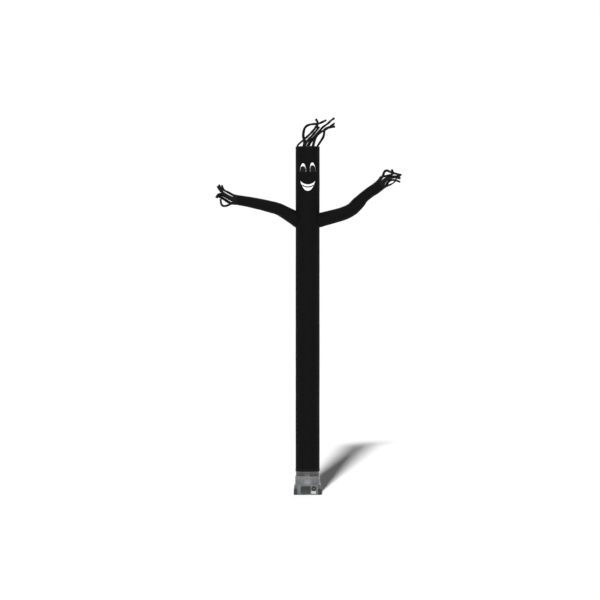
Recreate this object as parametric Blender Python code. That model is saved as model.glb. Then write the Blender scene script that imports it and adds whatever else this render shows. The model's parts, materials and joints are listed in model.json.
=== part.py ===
"""An inflatable air dancer standing on its blower: a tall cloth tube with two waving sleeves.

Metres, +Z up. The origin is on the tube's axis, on the surface the blower stands on. The dancer faces -Y.
"Left" and "right" are as seen from the front, so the left sleeve reaches towards -X.
"""

from math import ceil, copysign, cos, pi, radians, sin, sqrt, tan

import bmesh
import bpy
from mathutils import Vector

# Driving dimensions
SIDES = 48  # flats round the tube, the collar and the drum
CLOTH = 0.001
GAP = 0.0003  # between two pieces that touch
TUBE_RADIUS = 0.2275
TUBE_FOOT = 0.438
TUBE_TOP = 6.575
CAP_RISE = 0.015
CAP_PARTS = (1.0, 0.75, 0.4)  # radii of the cap's rings, as parts of its rim's
SLEEVE_SIDES = 24
ARM_RINGS = (4.95, 5.50)  # heights of the tube's rings below and above the arm holes
SHOULDER = (4.80, 5.70)  # heights between which the sleeves are cut to the tube
HOLE_RINGS = 5  # rings of a sleeve that reach through the tube's wall
SLEEVE_STEP = 0.085  # between two rings of a sleeve
SEAM_ALLOWANCE = 0.008  # the arm hole is this much smaller than the sleeve all round
STRAP_FOOT = 0.444
STRAP_HEIGHT = 0.040
STRAP_THICK = 0.0015
STRIP_STEP = 0.032  # between two folds of a loose strip
LAP = 0.030  # a finger strip overlaps its sleeve by this much
CORNER_REACH = 0.03  # from a corner of a strip's path to where its rounding starts
TAPER = 0.7  # the share of a strip's free length over which it narrows and turns
WALL = 0.005  # of the blower's moulded shell
COLLAR_RADIUS = 0.2215
COLLAR_TOP = 0.560
DRUM_RADIUS = 0.2355
BASE_HALF = 0.262
BASE_CORNER = 0.085
BASE_STRAIGHT = (0.010, 0.180)  # the heights between which the base wall is straight
WALL_LEAN = radians(3.37)  # of the base wall, inwards towards the top
UNDERSIDE_Z = 0.004
PLINTH_Z = 0.002  # the flat moulded under the middle of the base, between the feet
PLINTH_HALF = 0.150
PLINTH_CORNER = 0.040

# Sleeve centre line, from inside the tube to the hand. Columns: x, y, z, diameter
SLEEVES = {
    "left": (
        (-0.100, 0.000, 5.133, 0.300),
        (-0.230, 0.000, 5.215, 0.280),
        (-0.400, 0.000, 5.316, 0.247),
        (-0.570, -0.006, 5.400, 0.232),
        (-0.797, -0.018, 5.463, 0.218),
        (-1.023, -0.032, 5.513, 0.204),
        (-1.250, -0.044, 5.556, 0.192),
        (-1.380, -0.050, 5.574, 0.190),
    ),
    "right": (
        (0.100, 0.000, 5.152, 0.279),
        (0.228, 0.000, 5.185, 0.274),
        (0.432, 0.005, 5.241, 0.262),
        (0.602, 0.015, 5.286, 0.256),
        (0.716, 0.023, 5.327, 0.252),
        (0.829, 0.031, 5.387, 0.246),
        (0.886, 0.035, 5.436, 0.246),
        (0.943, 0.038, 5.495, 0.246),
        (0.999, 0.042, 5.552, 0.230),
        (1.056, 0.045, 5.612, 0.210),
        (1.170, 0.051, 5.703, 0.206),
        (1.283, 0.056, 5.778, 0.208),
        (1.394, 0.060, 5.868, 0.209),
    ),
}

TOWARDS = {"left": -1, "right": 1}

# Loose strips. Columns: around, the place on the rim in degrees, from the top of a sleeve towards the front;
# tip_y, how far behind its rim's centre the strip ends; tip_face, 0 edge-on and 90 flat to the front;
# root and tip widths; runs, the length of each run and its heading in degrees from +X towards +Z
HAIR = (
    (30, -0.050, 50, 0.074, 0.058, ((0.031, 90), (0.172, 39), (0.18, 44), (0.10, 50), (0.13, 52), (0.10, 128))),
    (-72, 0.130, -50, 0.062, 0.055, (
        (0.11, 79), (0.08, 121), (0.11, 83), (0.09, 73), (0.10, 25), (0.18, 6), (0.15, 26),
    )),
    (75, -0.170, 52, 0.062, 0.055, ((0.07, 82), (0.22, 46), (0.11, 52), (0.08, 56))),
    (-91, 0.080, -48, 0.062, 0.055, ((0.11, 62), (0.07, 41), (0.28, 52), (0.13, 32), (0.09, 51), (0.07, 30))),
    (116, -0.110, 132, 0.062, 0.055, ((0.11, 77), (0.10, 67), (0.11, 45), (0.18, 27), (0.14, 36))),
    (-146, 0.030, -126, 0.074, 0.060, (
        (0.16, 57), (0.09, 64), (0.08, 95), (0.05, 56), (0.10, 18), (0.09, 4),
    )),
)
FINGERS = {
    "left": (
        (30, -0.050, 60, 0.106, 0.045, ((0.12, 152), (0.10, 158), (0.10, 104))),
        (90, -0.095, 70, 0.106, 0.055, ((0.07, 150), (0.18, 146), (0.09, 128), (0.06, 116))),
        (150, -0.025, 112, 0.106, 0.044, ((0.04, 186), (0.07, 208), (0.10, 184), (0.09, 104), (0.05, 94))),
        (210, 0.095, 245, 0.106, 0.060, ((0.06, 164), (0.14, 145), (0.11, 150))),
        (270, 0.055, 250, 0.106, 0.055, ((0.08, 164), (0.16, 150), (0.06, 185), (0.08, 245))),
        (330, 0.015, 305, 0.106, 0.045, ((0.12, 156), (0.13, 152), (0.10, 120))),
    ),
    "right": (
        (30, -0.065, 72, 0.118, 0.044, (
            (0.08, 42), (0.08, 76), (0.05, 48), (0.05, -8), (0.06, -33), (0.07, -17), (0.14, -14),
        )),
        (90, -0.110, 70, 0.118, 0.045, ((0.10, 50), (0.15, 14), (0.13, -12))),
        (150, -0.025, 130, 0.118, 0.032, ((0.13, 24), (0.08, 38), (0.06, 72), (0.05, 105))),
        (210, 0.052, 240, 0.118, 0.045, ((0.02, 40), (0.11, 68), (0.12, 8), (0.11, -24))),
        (270, 0.092, 250, 0.118, 0.050, ((0.12, 47), (0.12, 18), (0.14, -4))),
        (330, 0.015, 305, 0.118, 0.050, ((0.045, 84), (0.16, 7), (0.12, 17), (0.10, 122))),
    ),
}

# The face, as flat pieces before they are wrapped: x runs round the tube
EYES = (("left", -0.093, 0.162, 0.03), ("right", 0.108, 0.178, -0.11))  # side, middle, height and lean
EYE_Z = 6.103
EYE_WIDTH = 0.123
PUPIL_WIDTH = 0.116
PUPIL_POWER = 2.5  # above 2 its shoulders are fuller than an ellipse's
BROW = 0.052  # of white above a pupil
MOUTH_X = 0.004
MOUTH_HALF = 0.151
MOUTH_CORNER_Z = 5.934
MOUTH_TOP_DIP = 0.066
MOUTH_BOTTOM_DIP = 0.186
MOUTH_BOTTOM_POWER = 2.3  # above 2 the lower lip is fuller than a parabola
TOOTH_LINE_HALF = 0.112
TOOTH_LINE_Z = 5.819
TOOTH_LINE_RISE = 0.034
TOOTH_LINE_WIDTH = 0.021
FACE_STEPS = 14

# Blower shell, outside and then inside, from the bottom up. Columns: z, half width, corner radius
OUTSIDE = (
    (PLINTH_Z, PLINTH_HALF, PLINTH_CORNER),
    (UNDERSIDE_Z, PLINTH_HALF + 0.002, PLINTH_CORNER + 0.002),
    (UNDERSIDE_Z, BASE_HALF - 0.006, BASE_CORNER - 0.006),
    (BASE_STRAIGHT[0], BASE_HALF, BASE_CORNER),
    (BASE_STRAIGHT[1], 0.252, 0.078),
    (0.192, 0.245, 0.090),
    (0.203, DRUM_RADIUS, DRUM_RADIUS),
    (0.343, DRUM_RADIUS, DRUM_RADIUS),
    (0.349, DRUM_RADIUS - 0.002, DRUM_RADIUS - 0.002),
    (0.351, COLLAR_RADIUS, COLLAR_RADIUS),
    (0.418, COLLAR_RADIUS, COLLAR_RADIUS),
    (0.421, COLLAR_RADIUS + 0.003, COLLAR_RADIUS + 0.003),
    (0.433, COLLAR_RADIUS + 0.003, COLLAR_RADIUS + 0.003),
    (0.436, COLLAR_RADIUS, COLLAR_RADIUS),
    (0.441, COLLAR_RADIUS, COLLAR_RADIUS),
    (0.443, TUBE_RADIUS - CLOTH - 2 * GAP, TUBE_RADIUS - CLOTH - 2 * GAP),
    (0.485, TUBE_RADIUS - CLOTH - 2 * GAP, TUBE_RADIUS - CLOTH - 2 * GAP),
    (0.490, COLLAR_RADIUS, COLLAR_RADIUS),
    (0.556, COLLAR_RADIUS, COLLAR_RADIUS),
    (COLLAR_TOP, COLLAR_RADIUS - 0.001, COLLAR_RADIUS - 0.001),
)
INSIDE = (
    (0.009, BASE_HALF - WALL, BASE_CORNER - WALL),
    (BASE_STRAIGHT[1] - 0.004, 0.252 - WALL, 0.078 - WALL),
    (0.187, 0.240, 0.085),
    (0.198, DRUM_RADIUS - WALL, DRUM_RADIUS - WALL),
    (0.338, DRUM_RADIUS - WALL, DRUM_RADIUS - WALL),
    (0.349, COLLAR_RADIUS - WALL, COLLAR_RADIUS - WALL),
    (COLLAR_TOP, COLLAR_RADIUS - WALL, COLLAR_RADIUS - WALL),
)

# Front of the base: the intake window and what is fixed beside it. Centres are x and height
WINDOW_X = -0.037
WINDOW_Z = 0.094
WINDOW_WIDTH = 0.194
WINDOW_HEIGHT = 0.156
WINDOW_CORNER = 0.025
GRILLE_MARGIN = 0.004
GRILLE_THICK = 0.005
LOUVRES = 8
LOUVRE_HEIGHT = 0.007
LOUVRE_LEAN = radians(40)
INLET_X = 0.119
INLET_Z = 0.1225
INLET_RADIUS = 0.046
INLET_PROUD = 0.009
INLET_RECESS = 0.006
INLET_FLANGE = 0.0085  # from the fitting's edge to its recess
DISC_SIDES = 32
BAR_SIZE = (0.054, 0.005, 0.014)
BAR_CORNER = 0.004
PLATE_X = 0.113
PLATE_Z = 0.047
PLATE_SIZE = (0.092, 0.0025, 0.050)
PLATE_CORNER = 0.018

FOOT_HEIGHT = 0.115
FOOT_WALL = 0.006
FOOT_PAD = 0.060  # how far a foot reaches in under the base
FOOT_CLEAR = 0.0003


def clear_scene():
    for obj in list(bpy.data.objects):
        bpy.data.objects.remove(obj, do_unlink=True)


def material(name, colour, roughness):
    """A plain finish with this colour, red, green and blue from 0 to 1."""
    finish = bpy.data.materials.new(name)
    finish.use_nodes = True
    shader = finish.node_tree.nodes["Principled BSDF"]
    shader.inputs["Base Color"].default_value = (*colour, 1)
    shader.inputs["Roughness"].default_value = roughness
    finish.diffuse_color = (*colour, 1)
    return finish


def add_object(name, bm, finish):
    """Makes the object of a bmesh, with its faces turned outwards."""
    bmesh.ops.recalc_face_normals(bm, faces=bm.faces)
    mesh = bpy.data.meshes.new(name)
    bm.to_mesh(mesh)
    bm.free()
    if finish:
        mesh.materials.append(finish)
    mesh.shade_smooth()
    mesh.set_sharp_from_angle(angle=radians(30))
    obj = bpy.data.objects.new(name, mesh)
    bpy.context.scene.collection.objects.link(obj)
    return obj


def add_sheet(name, bm, finish, thick=CLOTH, offset=0.0):
    """Makes a surface into a sheet. offset -1 thickens it inwards, 1 outwards and 0 both ways."""
    bmesh.ops.triangulate(bm, faces=bm.faces)
    obj = add_object(name, bm, finish)
    solidify = obj.modifiers.new("thickness", "SOLIDIFY")
    solidify.thickness = thick
    solidify.offset = offset
    solidify.use_even_offset = True
    return obj


def add_cutter(name, bm):
    cutter = add_object(name, bm, None)
    cutter.hide_render = True
    cutter.display_type = "WIRE"
    return cutter


def cut(obj, cutter):
    boolean = obj.modifiers.new("cut", "BOOLEAN")
    boolean.operation = "DIFFERENCE"
    boolean.object = cutter


def loft(bm, sections, closed=True):
    """Extrudes the first section through the others, and returns the first and last rings of vertices."""
    place = bm.verts.layers.int.new("place")
    count = len(sections[0])
    first = [bm.verts.new(point) for point in sections[0]]
    for index, vert in enumerate(first):
        vert[place] = index
    ends = count if closed else count - 1
    edges = [bm.edges.new((first[i], first[(i + 1) % count])) for i in range(ends)]
    last = first
    for section in sections[1:]:
        made = bmesh.ops.extrude_edge_only(bm, edges=edges)["geom"]
        last = sorted((v for v in made if isinstance(v, bmesh.types.BMVert)), key=lambda v: v[place])
        for vert, point in zip(last, section):
            vert.co = point
        fresh = set(last)
        edges = [e for e in made if isinstance(e, bmesh.types.BMEdge) and set(e.verts) <= fresh]
    return first, last


def circle(radius, z, sides=SIDES):
    turns = (2 * pi * i / sides for i in range(sides))
    return [(radius * cos(turn), radius * sin(turn), z) for turn in turns]


def rounded_square(z, half, corner):
    """SIDES points, at equal angles, on a square with rounded corners. A full corner radius makes a circle."""
    flat = half - corner
    points = []
    for i in range(SIDES):
        turn = 2 * pi * i / SIDES
        folded = min(turn % (pi / 2), pi / 2 - turn % (pi / 2))
        if half * tan(folded) < flat:
            reach = half / cos(folded)
        else:
            along = flat * (cos(folded) + sin(folded))
            reach = along + sqrt(along**2 - 2 * flat**2 + corner**2)
        points.append((reach * cos(turn), reach * sin(turn), z))
    return points


def base_section(z):
    """Half width and corner radius of the base wall at this height."""
    low, high = BASE_STRAIGHT
    part = min(max((z - low) / (high - low), 0), 1)
    (_, half_low, corner_low), (_, half_high, corner_high) = OUTSIDE[3], OUTSIDE[4]
    return half_low + part * (half_high - half_low), corner_low + part * (corner_high - corner_low)


def smooth_through(rows, step):
    """Rows about this far apart, in x, y and z, on a smooth curve through the given rows."""
    rows = [Vector(row) for row in rows]
    padded = [2 * rows[0] - rows[1], *rows, 2 * rows[-1] - rows[-2]]
    made = [rows[0]]
    for a, b, c, d in zip(padded, padded[1:], padded[2:], padded[3:]):
        pieces = max(1, round((c - b).length / step))
        for k in range(1, pieces + 1):
            t = k / pieces
            point = b * 2 + (c - a) * t + (a * 2 - b * 5 + c * 4 - d) * t**2
            made.append((point + (b * 3 - a - c * 3 + d) * t**3) / 2)
    return made


def frames(points, towards):
    """At each point, the directions along the path, up from it and back from it. towards is -1 or 1, its side."""
    found = []
    for i in range(len(points)):
        along = (points[min(i + 1, len(points) - 1)] - points[max(i - 1, 0)]).normalized()
        up = along.cross(Vector((0, 1, 0))).normalized() * towards
        found.append((along, up, up.cross(along) * towards))
    return found


def sleeve_rings(side, shrink=0.0):
    """Rings of points along a sleeve, with the centre, frame and radius of its hand end."""
    rows = smooth_through(SLEEVES[side], SLEEVE_STEP)
    centres = [row.to_3d() for row in rows]
    directions = frames(centres, TOWARDS[side])
    rings = []
    for centre, (_, up, back), row in zip(centres, directions, rows):
        radius = row.w / 2 - shrink
        turns = (2 * pi * i / SLEEVE_SIDES for i in range(SLEEVE_SIDES))
        rings.append([centre + radius * (up * cos(t) - back * sin(t)) for t in turns])
    return rings, centres[-1], directions[-1], max(rows[-1].w, rows[-2].w) / 2


def tube_envelope():
    """Keeps a sleeve off the tube: a post just wider than the tube."""
    bm = bmesh.new()
    radius = TUBE_RADIUS + GAP / cos(pi / SIDES)
    first, last = loft(bm, [circle(radius, z) for z in SHOULDER])
    bm.faces.new(first)
    bm.faces.new(last)
    return add_cutter("tube_envelope", bm)


def make_tube(finish):
    bm = bmesh.new()
    loft(bm, [circle(TUBE_RADIUS, z) for z in (TUBE_FOOT, *ARM_RINGS, TUBE_TOP)])
    return add_sheet("body_tube", bm, finish, offset=-1)


def make_sleeve(side, finish, tube, envelope):
    """A sleeve cut to the curve of the tube, and its hole in the tube."""
    bm = bmesh.new()
    rings, _, _, _ = sleeve_rings(side)
    loft(bm, rings)
    sleeve = add_sheet(f"arm_{side}", bm, finish, offset=-1)
    cut(sleeve, envelope)
    hole = bmesh.new()
    rings, _, _, _ = sleeve_rings(side, SEAM_ALLOWANCE)
    first, last = loft(hole, rings[:HOLE_RINGS])
    hole.faces.new(first)
    hole.faces.new(last)
    cut(tube, add_cutter(f"arm_hole_{side}", hole))


def make_cap(finish):
    """The top panel, a shallow dome that fits inside the tube's top edge."""
    rim = TUBE_RADIUS - CLOTH - 2 * GAP
    sections = []
    for part in CAP_PARTS:
        sections.append(circle(rim * part, TUBE_TOP - GAP + CAP_RISE * (1 - part**2)))
    bm = bmesh.new()
    _, last = loft(bm, sections)
    bm.faces.new(last)
    return add_sheet("head_cap", bm, finish, offset=-1)


def make_strap(finish):
    bm = bmesh.new()
    radius = TUBE_RADIUS + GAP / cos(pi / SIDES)
    loft(bm, [circle(radius, STRAP_FOOT), circle(radius, STRAP_FOOT + STRAP_HEIGHT)])
    return add_sheet("base_strap", bm, finish, thick=STRAP_THICK, offset=1)


def corner_cut(points):
    """Rounds the corners of an open path by cutting each of them four times."""
    for _ in range(4):
        middle = []
        for a, b in zip(points, points[1:]):
            share = min(0.3, CORNER_REACH / (b - a).length)
            middle += [a.lerp(b, share), a.lerp(b, 1 - share)]
        points = [points[0], *middle[1:-1], points[-1]]
    return points


def evenly(points, step):
    """The points at equal distances along a path, about step apart."""
    lengths = [(b - a).length for a, b in zip(points, points[1:])]
    count = ceil(sum(lengths) / step)
    spacing = sum(lengths) / count
    made = [points[0]]
    walked = 0.0
    for (a, b), length in zip(zip(points, points[1:]), lengths):
        while len(made) < count and spacing * len(made) <= walked + length:
            made.append(a.lerp(b, (spacing * len(made) - walked) / length))
        walked += length
    return [*made, points[-1]]


def make_strip(name, rim, row, finish, towards=1, lap=0.0):
    """A loose strip from its place on a rim, whose centre, frame and radius are given."""
    centre, (along, up, back), radius = rim
    around, tip_y, tip_face, root_width, tip_width, runs = row
    turn = radians(around)
    root = centre + radius * (up * cos(turn) - back * sin(turn)) - along * lap
    path = [root, root + along * lap * 2] if lap else [root]
    whole = sum(run[0] for run in runs)
    start_y = path[-1].y
    walked = 0.0
    for length, heading in runs:
        walked += length
        part = walked / whole
        step = Vector((cos(radians(heading)), 0, sin(radians(heading)))) * length
        point = path[-1] + step
        point.y = start_y + (centre.y + tip_y - start_y) * part**2 * (3 - 2 * part)
        path.append(point)
    path = evenly(corner_cut(path), STRIP_STEP)
    sections = []
    for i, (point, (_, up, back)) in enumerate(zip(path, [rim[1], *frames(path, towards)[1:]])):
        beyond = (i * STRIP_STEP - 2 * lap) / (whole * TAPER)
        ease = min(max(beyond, 0), 1)
        width = root_width + (tip_width - root_width) * ease * (2 - ease)
        face = radians(around + (tip_face - around) * ease**2 * (3 - 2 * ease))
        side = (up * sin(face) + back * cos(face)) * width / 2
        sections.append([point - side, point + side])
    bm = bmesh.new()
    loft(bm, sections, closed=False)
    return add_sheet(name, bm, finish)


def make_hair(finish):
    """The strips of the top seam. On this rim, 0 degrees is the left side and 90 the front."""
    up = (Vector((0, 0, 1)), Vector((-1, 0, 0)), Vector((0, 1, 0)))
    rim = (Vector((0, 0, TUBE_TOP + 2 * GAP)), up, TUBE_RADIUS - 2 * CLOTH)
    for number, row in enumerate(HAIR, 1):
        make_strip(f"hair_{number}", rim, row, finish)


def make_fingers(side, finish):
    _, centre, directions, radius = sleeve_rings(side)
    rim = (centre, directions, radius + 2 * GAP + CLOTH / 2)
    for number, row in enumerate(FINGERS[side], 1):
        make_strip(f"finger_{side}_{number}", rim, row, finish, TOWARDS[side], LAP)


def add_patch(name, outline, finish, lift=0.0):
    """A flat piece, given as points of x and height, sewn on the tube's flats. lift is how far off them it is."""
    flat = 2 * pi / SIDES
    bm = bmesh.new()
    bm.faces.new([bm.verts.new((x, 0, z)) for x, z in outline])
    reach = max(abs(x) for x, _ in outline)
    for line in range(-ceil(reach / TUBE_RADIUS / flat), ceil(reach / TUBE_RADIUS / flat) + 1):
        bmesh.ops.bisect_plane(
            bm,
            geom=[*bm.verts, *bm.edges, *bm.faces],
            dist=0.0001,
            plane_co=(line * flat * TUBE_RADIUS, 0, 0),
            plane_no=(1, 0, 0),
        )
    radius = TUBE_RADIUS + (GAP + lift) / cos(flat / 2)
    for vert in bm.verts:
        flats = vert.co.x / TUBE_RADIUS / flat
        low = int(flats // 1)
        a, b = ((radius * sin(k * flat), -radius * cos(k * flat)) for k in (low, low + 1))
        share = flats - low
        vert.co = (a[0] + (b[0] - a[0]) * share, a[1] + (b[1] - a[1]) * share, vert.co.z)
    return add_sheet(name, bm, finish, offset=1)


def arch(centre, width, height, lean, power=2.0):
    """Half an ellipse on a straight foot, leaning sideways. A power above 2 makes its shoulders fuller."""
    turns = (pi * i / FACE_STEPS for i in range(FACE_STEPS + 1))
    shares = [(-copysign(abs(cos(turn)) ** (2 / power), cos(turn)), sin(turn) ** (2 / power)) for turn in turns]
    return [(centre + width / 2 * across + lean * height * up, EYE_Z + height * up) for across, up in shares]


def hanging_curve(half, end_z, dip, power=2.0):
    """Points along a curve that hangs by dip in the middle, from its left end to its right."""
    shares = [2 * i / FACE_STEPS - 1 for i in range(FACE_STEPS + 1)]
    return [(MOUTH_X + half * share, end_z - dip * (1 - abs(share) ** power)) for share in shares]


def make_face(white, black):
    for side, middle, height, lean in EYES:
        add_patch(f"eye_{side}", arch(middle, EYE_WIDTH, height, lean), white)
        pupil = arch(middle, PUPIL_WIDTH, height - BROW, lean, PUPIL_POWER)
        add_patch(f"pupil_{side}", pupil, black, lift=CLOTH + GAP)
    top = hanging_curve(MOUTH_HALF, MOUTH_CORNER_Z, MOUTH_TOP_DIP)
    bottom = hanging_curve(MOUTH_HALF, MOUTH_CORNER_Z, MOUTH_BOTTOM_DIP, MOUTH_BOTTOM_POWER)
    add_patch("mouth", top + bottom[-2:0:-1], white)
    line_ends = TOOTH_LINE_Z + TOOTH_LINE_RISE
    over = hanging_curve(TOOTH_LINE_HALF, line_ends + TOOTH_LINE_WIDTH / 2, TOOTH_LINE_RISE)
    under = hanging_curve(TOOTH_LINE_HALF, line_ends - TOOTH_LINE_WIDTH / 2, TOOTH_LINE_RISE)
    add_patch("tooth_line", over + under[::-1], black, lift=CLOTH + GAP)


def rounded_panel(bm, width, height, thick, corner):
    """A panel that faces -Y, with its back on the plane y = 0, centred on the origin."""
    bmesh.ops.create_cube(bm, size=1)
    for vert in bm.verts:
        vert.co = (vert.co.x * width, (vert.co.y - 0.5) * thick, vert.co.z * height)
    upright = [e for e in bm.edges if abs(e.verts[0].co.y - e.verts[1].co.y) > thick / 2]
    bmesh.ops.bevel(bm, geom=upright, offset=corner, segments=4, profile=0.5, affect="EDGES", material=-1)


def on_front_wall(obj, x, z, out=GAP):
    """Places an object on the leaning front wall of the base, this far out of it."""
    half, _ = base_section(z)
    obj.location = (x, -half - out * cos(WALL_LEAN), z + out * sin(WALL_LEAN))
    obj.rotation_euler = (-WALL_LEAN, 0, 0)


def make_housing(finish):
    """The moulded shell: square base, round drum, and the collar that goes up inside the tube."""
    bm = bmesh.new()
    rows = [*OUTSIDE, *INSIDE[::-1]]
    first, last = loft(bm, [rounded_square(*row) for row in rows])
    bm.faces.new(first)
    bm.faces.new(last)
    housing = add_object("blower_housing", bm, finish)
    window = bmesh.new()
    rounded_panel(window, WINDOW_WIDTH, WINDOW_HEIGHT, 6 * WALL, WINDOW_CORNER)
    cutter = add_cutter("window", window)
    on_front_wall(cutter, WINDOW_X, WINDOW_Z, out=-3 * WALL)
    cut(housing, cutter)


def make_grille(finish):
    """The louvred panel, held against the inside of the wall behind the window."""
    bm = bmesh.new()
    width = WINDOW_WIDTH + 2 * GRILLE_MARGIN
    height = WINDOW_HEIGHT + 2 * GRILLE_MARGIN
    rounded_panel(bm, width, height, GRILLE_THICK, WINDOW_CORNER)
    grille = add_object("intake_grille", bm, finish)
    on_front_wall(grille, WINDOW_X, WINDOW_Z, out=-WALL - GAP - GRILLE_THICK)
    slots = bmesh.new()
    pitch = WINDOW_HEIGHT / (LOUVRES + 0.5)
    for number in range(LOUVRES):
        made = bmesh.ops.create_cube(slots, size=1)["verts"]
        for vert in made:
            along = vert.co.y * 4 * GRILLE_THICK
            rise = vert.co.z * LOUVRE_HEIGHT + (number - (LOUVRES - 1) / 2) * pitch + along * tan(LOUVRE_LEAN)
            vert.co = (vert.co.x * (WINDOW_WIDTH - WINDOW_CORNER), along - GRILLE_THICK / 2, rise)
    cutter = add_cutter("louvre_slots", slots)
    cutter.parent = grille
    cut(grille, cutter)


def disc(bm, radii_and_depths):
    """A turned piece about Y, from its back rim to the middle of its face, with a flat back."""
    sections = []
    for radius, depth in radii_and_depths:
        turns = (2 * pi * i / DISC_SIDES for i in range(DISC_SIDES))
        sections.append([(radius * cos(turn), -depth, radius * sin(turn)) for turn in turns])
    first, last = loft(bm, sections)
    bm.faces.new(first)
    bm.faces.new(last)


def make_inlet(dark, pale):
    """The round fitting: a flange with a recess, and a bar across the recess's floor."""
    bm = bmesh.new()
    floor = INLET_PROUD - INLET_RECESS
    inner = INLET_RADIUS - INLET_FLANGE
    disc(bm, (
        (INLET_RADIUS, 0),
        (INLET_RADIUS, INLET_PROUD - 0.002),
        (INLET_RADIUS - 0.002, INLET_PROUD),
        (inner, INLET_PROUD),
        (inner - 0.001, floor),
    ))
    on_front_wall(add_object("power_inlet", bm, dark), INLET_X, INLET_Z)
    bm = bmesh.new()
    width, thick, height = BAR_SIZE
    rounded_panel(bm, width, height, thick, BAR_CORNER)
    on_front_wall(add_object("inlet_bar", bm, pale), INLET_X, INLET_Z, out=floor + 2 * GAP)


def make_plate(finish):
    bm = bmesh.new()
    width, thick, height = PLATE_SIZE
    rounded_panel(bm, width, height, thick, PLATE_CORNER)
    on_front_wall(add_object("blank_plate", bm, finish), PLATE_X, PLATE_Z)


def make_feet(finish):
    """Four rubber corners. Each wraps the lower corner of the base and reaches in under it."""
    outer = FOOT_CLEAR + FOOT_WALL
    pad_top = UNDERSIDE_Z - GAP
    profile = (
        (-FOOT_PAD, 0),
        (outer, 0),
        (outer, FOOT_HEIGHT),
        (FOOT_CLEAR, FOOT_HEIGHT),
        (FOOT_CLEAR, BASE_STRAIGHT[0]),
        (FOOT_CLEAR, pad_top),
        (-FOOT_PAD, pad_top),
    )
    rings = []
    for out, z in profile:
        half, corner = base_section(z)
        rings.append(rounded_square(z, half + out, corner + out))
    eighth = SIDES // 8
    for number, name in enumerate(("back_right", "back_left", "front_left", "front_right")):
        middle = eighth * (2 * number + 1)
        stations = [[ring[(middle + step) % SIDES] for ring in rings] for step in (-1, 0, 1)]
        bm = bmesh.new()
        first, last = loft(bm, stations)
        bm.faces.new(first)
        bm.faces.new(last)
        add_object(f"foot_{name}", bm, finish)


def build():
    clear_scene()
    black_cloth = material("black ripstop", (0.009, 0.009, 0.009), 0.62)
    cap_cloth = material("cap ripstop", (0.009, 0.009, 0.009), 0.62)
    strip_cloth = material("strip ripstop", (0.010, 0.010, 0.010), 0.60)
    webbing = material("black webbing", (0.006, 0.006, 0.006), 0.75)
    white_cloth = material("white applique cloth", (0.86, 0.86, 0.85), 0.65)
    black_applique = material("black applique cloth", (0.008, 0.008, 0.008), 0.65)
    shell = material("grey moulded plastic", (0.17, 0.175, 0.185), 0.45)
    dark_plastic = material("dark moulded plastic", (0.035, 0.04, 0.037), 0.55)
    bar_plastic = material("pale bar", (0.20, 0.20, 0.20), 0.45)
    plate = material("white plate", (0.78, 0.78, 0.77), 0.40)
    rubber = material("black rubber", (0.025, 0.026, 0.027), 0.80)
    tube = make_tube(black_cloth)
    envelope = tube_envelope()
    for side in SLEEVES:
        make_sleeve(side, black_cloth, tube, envelope)
        make_fingers(side, strip_cloth)
    make_cap(cap_cloth)
    make_hair(strip_cloth)
    make_strap(webbing)
    make_face(white_cloth, black_applique)
    make_housing(shell)
    make_grille(dark_plastic)
    make_inlet(dark_plastic, bar_plastic)
    make_plate(plate)
    make_feet(rubber)


build()
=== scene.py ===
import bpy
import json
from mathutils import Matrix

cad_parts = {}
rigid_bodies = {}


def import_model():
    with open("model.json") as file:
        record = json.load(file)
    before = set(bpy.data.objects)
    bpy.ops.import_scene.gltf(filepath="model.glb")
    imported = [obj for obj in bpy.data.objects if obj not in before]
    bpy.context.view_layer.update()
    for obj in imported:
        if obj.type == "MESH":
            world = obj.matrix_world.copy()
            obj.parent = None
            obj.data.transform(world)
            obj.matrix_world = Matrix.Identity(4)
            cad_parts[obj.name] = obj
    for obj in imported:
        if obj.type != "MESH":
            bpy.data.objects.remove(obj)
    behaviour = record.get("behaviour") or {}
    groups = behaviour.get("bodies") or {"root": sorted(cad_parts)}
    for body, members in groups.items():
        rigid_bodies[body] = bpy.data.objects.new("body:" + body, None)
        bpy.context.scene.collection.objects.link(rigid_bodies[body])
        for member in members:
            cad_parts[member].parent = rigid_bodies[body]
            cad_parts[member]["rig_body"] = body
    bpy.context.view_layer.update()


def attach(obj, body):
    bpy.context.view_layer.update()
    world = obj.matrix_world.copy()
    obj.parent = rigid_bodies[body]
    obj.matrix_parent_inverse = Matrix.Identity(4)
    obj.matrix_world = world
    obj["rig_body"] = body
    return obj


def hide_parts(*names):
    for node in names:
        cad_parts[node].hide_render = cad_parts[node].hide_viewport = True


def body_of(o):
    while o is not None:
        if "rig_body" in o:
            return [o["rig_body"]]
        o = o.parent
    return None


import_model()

import json
from bisect import bisect_right
from math import atan2, ceil, copysign, cos, exp, hypot, pi, radians, sin, sqrt, tan

import bmesh
import bpy
from mathutils import Matrix, Vector, noise

# Blower housing. One shell of grey polyethylene with a 5 mm wall, moulded as a square base that rises into a round
# drum and ends in the collar inside the cloth. A shallow groove runs round the drum where its mould parted.
HOUSING_SIDES = 192
WALL = 0.005
GAP = 0.0003  # between a piece and the one that it lies on
COLLAR = 0.2215
SEAT = 0.2257  # where the strap grips
DRUM = 0.2355
WALL_FOOT = (0.010, 0.262, 0.085)  # height, half width and corner radius of the base wall
WALL_TOP = (0.180, 0.252, 0.078)
WALL_LEAN = atan2(WALL_FOOT[1] - WALL_TOP[1], WALL_TOP[0] - WALL_FOOT[0])

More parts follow.
